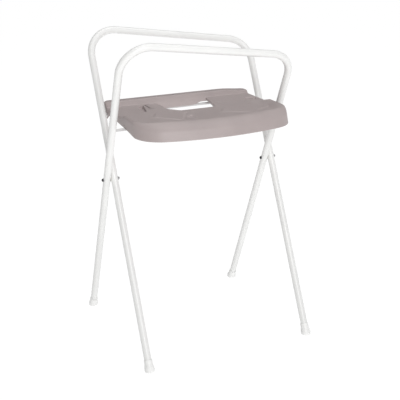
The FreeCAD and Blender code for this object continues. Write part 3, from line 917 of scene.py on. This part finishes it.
def tray(plastic):
    """The moulding, meshed from its distance field and thinned where it is flat."""
    pitch = TRAY_PITCH
    low = np.array((-TRAY_HALF, TRAY_FRONT_Y, SKIRT_LOW_Z - 1)) - GRID_BELOW
    high = np.array((TRAY_HALF, TRAY_REAR_Y, REAR_RIM_Z)) + GRID_ABOVE
    axes = [np.arange(low[n], high[n], pitch[n]) for n in range(3)]
    grid = np.meshgrid(*axes, indexing="ij", sparse=True)
    points, quads = surface_net(tray_field(*grid), axes)
    points = onto_surface(points, SETTLE_REACH * min(pitch))
    piece = make_piece(
        "tray_moulding", points, quads.tolist(), "tray_assembly", plastic, "tray",
        TRAY_SHARP_DEG)
    thin = piece.modifiers.new("thin", "DECIMATE")
    thin.ratio = min(1.0, TRAY_FACES / (2 * len(quads)))
    bpy.context.view_layer.objects.active = piece
    with bpy.context.temp_override(object=piece, active_object=piece):
        bpy.ops.object.modifier_apply(modifier="thin")


# ---- materials -------------------------------------------------------------------
def new_material(name, colour, roughness):
    """Material with a plain colour and roughness, its node tree and its shader."""
    material = bpy.data.materials.new(name)
    material.use_nodes = True
    tree = material.node_tree
    shader = tree.nodes["Principled BSDF"]
    shader.inputs["Base Color"].default_value = (*colour, 1)
    shader.inputs["Roughness"].default_value = roughness
    return material, tree, shader


def noise(tree, scale, detail=3.0, stretch=(1, 1, 1)):
    """Noise in the piece's own coordinates. scale is in features per metre."""
    place = tree.nodes.new("ShaderNodeTexCoord")
    mapping = tree.nodes.new("ShaderNodeMapping")
    mapping.inputs["Scale"].default_value = stretch
    texture = tree.nodes.new("ShaderNodeTexNoise")
    texture.inputs["Scale"].default_value = scale
    texture.inputs["Detail"].default_value = detail
    tree.links.new(place.outputs["Object"], mapping.inputs["Vector"])
    tree.links.new(mapping.outputs["Vector"], texture.inputs["Vector"])
    return texture.outputs["Fac"]


def spread(tree, value, low, high, start=0.3, end=0.7):
    """Maps a pattern between start and end onto a range of values."""
    node = tree.nodes.new("ShaderNodeMapRange")
    node.inputs["From Min"].default_value = start
    node.inputs["From Max"].default_value = end
    node.inputs["To Min"].default_value = low
    node.inputs["To Max"].default_value = high
    tree.links.new(value, node.inputs["Value"])
    return node.outputs["Result"]


def tint(tree, factor, first, second):
    """Blend of two colours or colour outputs by a factor output."""
    node = tree.nodes.new("ShaderNodeMix")
    node.data_type = "RGBA"
    tree.links.new(factor, node.inputs["Factor"])
    colour_sockets = [socket for socket in node.inputs if socket.type == "RGBA"]
    for socket, colour in zip(colour_sockets, (first, second)):
        if isinstance(colour, tuple):
            socket.default_value = (*colour, 1)
        else:
            tree.links.new(colour, socket)
    return next(socket for socket in node.outputs if socket.type == "RGBA")


def bumps(tree, shader, *layers):
    """Unevenness of a surface, each layer a (height output, distance, strength)."""
    normal = None
    for height, distance, strength in layers:
        node = tree.nodes.new("ShaderNodeBump")
        node.inputs["Strength"].default_value = strength
        node.inputs["Distance"].default_value = distance
        tree.links.new(height, node.inputs["Height"])
        if normal is not None:
            tree.links.new(normal, node.inputs["Normal"])
        normal = node.outputs["Normal"]
    tree.links.new(normal, shader.inputs["Normal"])


def powder_coat(name, colour, roughness):
    """Satin powder coat: soft orange peel, fine texture, a little unevenness in gloss."""
    material, tree, shader = new_material(name, colour, roughness)
    cloud = spread(tree, noise(tree, 9.0, detail=2.0), 0, 1)
    shade_colour = tuple(c * 0.965 for c in colour)
    tree.links.new(tint(tree, cloud, colour, shade_colour), shader.inputs["Base Color"])
    peel = noise(tree, 420.0, detail=2.0)
    tree.links.new(spread(tree, peel, roughness - 0.05, roughness + 0.06), shader.inputs["Roughness"])
    bumps(tree, shader, (peel, 0.0005, 0.16), (noise(tree, 2600.0, detail=2.0), 0.0001, 0.12))
    shader.inputs["Coat Weight"].default_value = 0.12
    shader.inputs["Coat Roughness"].default_value = 0.22
    return material


def grained_plastic(name, colour, roughness, grain_scale, grain_depth):
    """Moulded plastic: spark-eroded grain, faint flow clouds, and a painted highlight that lightens the
    outer edges.
    """
    material, tree, shader = new_material(name, colour, roughness)
    flow = spread(tree, noise(tree, 14.0, detail=4.0, stretch=(1, 0.5, 1)), 0, 1)
    clouded = tint(tree, flow, colour, tuple(c * 0.93 for c in colour))
    # Painted highlight: outer edges, found by pointiness, are lightened in colour.
    painted_edge_highlight = tuple(min(1.0, c * 1.12 + 0.01) for c in colour)
    pointiness = tree.nodes.new("ShaderNodeNewGeometry").outputs["Pointiness"]
    outer_edges = spread(tree, pointiness, 0.0, 1.0, start=0.52, end=0.62)
    tree.links.new(tint(tree, outer_edges, clouded, painted_edge_highlight), shader.inputs["Base Color"])
    grain = noise(tree, grain_scale, detail=2.0)
    tree.links.new(spread(tree, grain, roughness - 0.05, roughness + 0.07), shader.inputs["Roughness"])
    bumps(tree, shader, (noise(tree, 60.0, detail=2.0), 0.0006, 0.05), (grain, grain_depth, 0.35))
    return material


def plated_metal(name, colour, roughness):
    """Zinc plating: mottled colour and gloss, and fine marks drawn out along X."""
    material, tree, shader = new_material(name, colour, roughness)
    shader.inputs["Metallic"].default_value = 1.0
    mottle = noise(tree, 900.0)
    dull = tuple(c * 0.8 for c in colour)
    tree.links.new(tint(tree, spread(tree, mottle, 0, 1), colour, dull), shader.inputs["Base Color"])
    tree.links.new(spread(tree, mottle, roughness - 0.08, roughness + 0.1), shader.inputs["Roughness"])
    bumps(tree, shader, (noise(tree, 2400.0, detail=1.0, stretch=(0.2, 1, 1)), 0.00005, 0.2))
    return material


def floor_material():
    """Pale matt floor that glows a little, so that it stays white to its far edge."""
    material, _, shader = new_material("studio_floor", (0.08, 0.08, 0.08), 0.9)
    shader.inputs["Specular IOR Level"].default_value = 0.0
    shader.inputs["Emission Color"].default_value = (1, 1, 1, 1)
    shader.inputs["Emission Strength"].default_value = 0.985
    return material


# ---- studio, in metres and degrees -----------------------------------------------
CAMERA_AZIMUTH = -23.43
CAMERA_ELEVATION = 19.24
CAMERA_ROLL = -1.01
CAMERA_DISTANCE = 3.076
CAMERA_TARGET = (0.19838, 0.39987, 0.26977)
CAMERA_LENS = 72.62
CAMERA_SENSOR = 36.0
CAMERA_SIGHT = 200.0
FLOOR_REACH = 60.0
WORLD_STRENGTH = 0.18
LIGHT_AIM = (0.0, 0.0, 0.55)
LIGHTS = {
    "key": {"place": (-0.5, -3.7, 2.2), "size": 2.0, "watts": 94},
    "fill": {"place": (3.4, 0.6, 1.7), "size": 2.6, "watts": 14},
    "top": {"place": (0.2, 0.2, 3.8), "size": 3.0, "watts": 58},
}


def stand_at(thing, place, back, roll=0.0):
    """Puts a camera or lamp at a place, looking away from back, turned by roll."""
    side = np.cross((0, 0, 1), back)
    side /= np.linalg.norm(side)
    up = np.cross(back, side)
    turn = np.eye(4)
    turn[:3, 0] = math.cos(roll) * side + math.sin(roll) * up
    turn[:3, 1] = math.cos(roll) * up - math.sin(roll) * side
    turn[:3, 2] = back
    turn[:3, 3] = place
    thing.matrix_world = Matrix(turn.tolist())


def place_camera():
    """Camera that looks at the stand from the front left."""
    azimuth, elevation = math.radians(CAMERA_AZIMUTH), math.radians(CAMERA_ELEVATION)
    level = math.cos(elevation)
    back = np.array((math.sin(azimuth) * level, -math.cos(azimuth) * level, math.sin(elevation)))
    camera = bpy.data.objects.new("camera", bpy.data.cameras.new("camera"))
    bpy.context.scene.collection.objects.link(camera)
    place = np.array(CAMERA_TARGET) + back * CAMERA_DISTANCE
    stand_at(camera, place, back, math.radians(CAMERA_ROLL))
    camera.data.lens = CAMERA_LENS
    camera.data.sensor_width = CAMERA_SENSOR
    camera.data.clip_end = CAMERA_SIGHT
    bpy.context.scene.camera = camera


def area_light(name, place, size, watts):
    """Square soft light turned towards the middle of the stand."""
    light = bpy.data.lights.new(name, "AREA")
    light.size = size
    light.energy = watts
    lamp = bpy.data.objects.new(name, light)
    bpy.context.scene.collection.objects.link(lamp)
    back = np.array(place) - np.array(LIGHT_AIM)
    stand_at(lamp, place, back / np.linalg.norm(back))


def studio_floor():
    """Large flat floor at height 0."""
    mesh = bpy.data.meshes.new("studio_floor")
    corners = [(x * FLOOR_REACH, y * FLOOR_REACH, 0) for x, y in ((-1, -1), (1, -1), (1, 1), (-1, 1))]
    mesh.from_pydata(corners, [], [(0, 1, 2, 3)])
    mesh.materials.append(floor_material())
    floor = bpy.data.objects.new("studio_floor", mesh)
    bpy.context.scene.collection.objects.link(floor)


def studio():
    """Pale floor, even surroundings and three large soft lights."""
    bpy.context.scene.view_settings.view_transform = "Standard"
    studio_floor()
    world = bpy.data.worlds.new("studio")
    world.use_nodes = True
    background = world.node_tree.nodes["Background"]
    background.inputs["Color"].default_value = (1, 1, 1, 1)
    background.inputs["Strength"].default_value = WORLD_STRENGTH
    bpy.context.scene.world = world
    for name, light in LIGHTS.items():
        area_light(name, **light)


# ---- assembly --------------------------------------------------------------------
def build():
    """Every piece of the stand, with the materials that pieces share made once."""
    paint = powder_coat("white_powder_coat", (0.82, 0.82, 0.81), 0.36)
    # The rods are white like the frame; their colour is greyed as painted shade, standing in for the
    # tray's shadow on them.
    shaded_rod_paint = powder_coat("rod_coat_greyed_as_painted_shade", (0.56, 0.55, 0.55), 0.34)
    foot_plastic = grained_plastic("white_foot_plastic", (0.9, 0.9, 0.89), 0.46, 1500.0, 0.00008)
    tray_plastic = grained_plastic("taupe_tray_plastic", (0.405, 0.347, 0.342), 0.5, 1300.0, 0.00014)
    dark_zinc = plated_metal("dark_bolt_zinc", (0.07, 0.07, 0.075), 0.42)
    bright_zinc = plated_metal("bright_zinc", (0.62, 0.62, 0.63), 0.34)
    nylon = grained_plastic("natural_nylon", (0.72, 0.71, 0.68), 0.5, 1800.0, 0.00005)
    for name, stand in STANDS.items():
        frame_tube(name, paint)
        cross_rod(stand["rod"], stand["body"], shaded_rod_paint)
        for side in SIDES:
            foot_cap(stand, side, foot_plastic)
    for side in SIDES:
        pivot_bolt(side, dark_zinc)
        pivot_nut(side, bright_zinc)
        pivot_washers(side, bright_zinc)
        pivot_spacer(side, nylon)
        snap_clip(side, tray_plastic)
    tray(tray_plastic)


place_camera()
studio()
build()
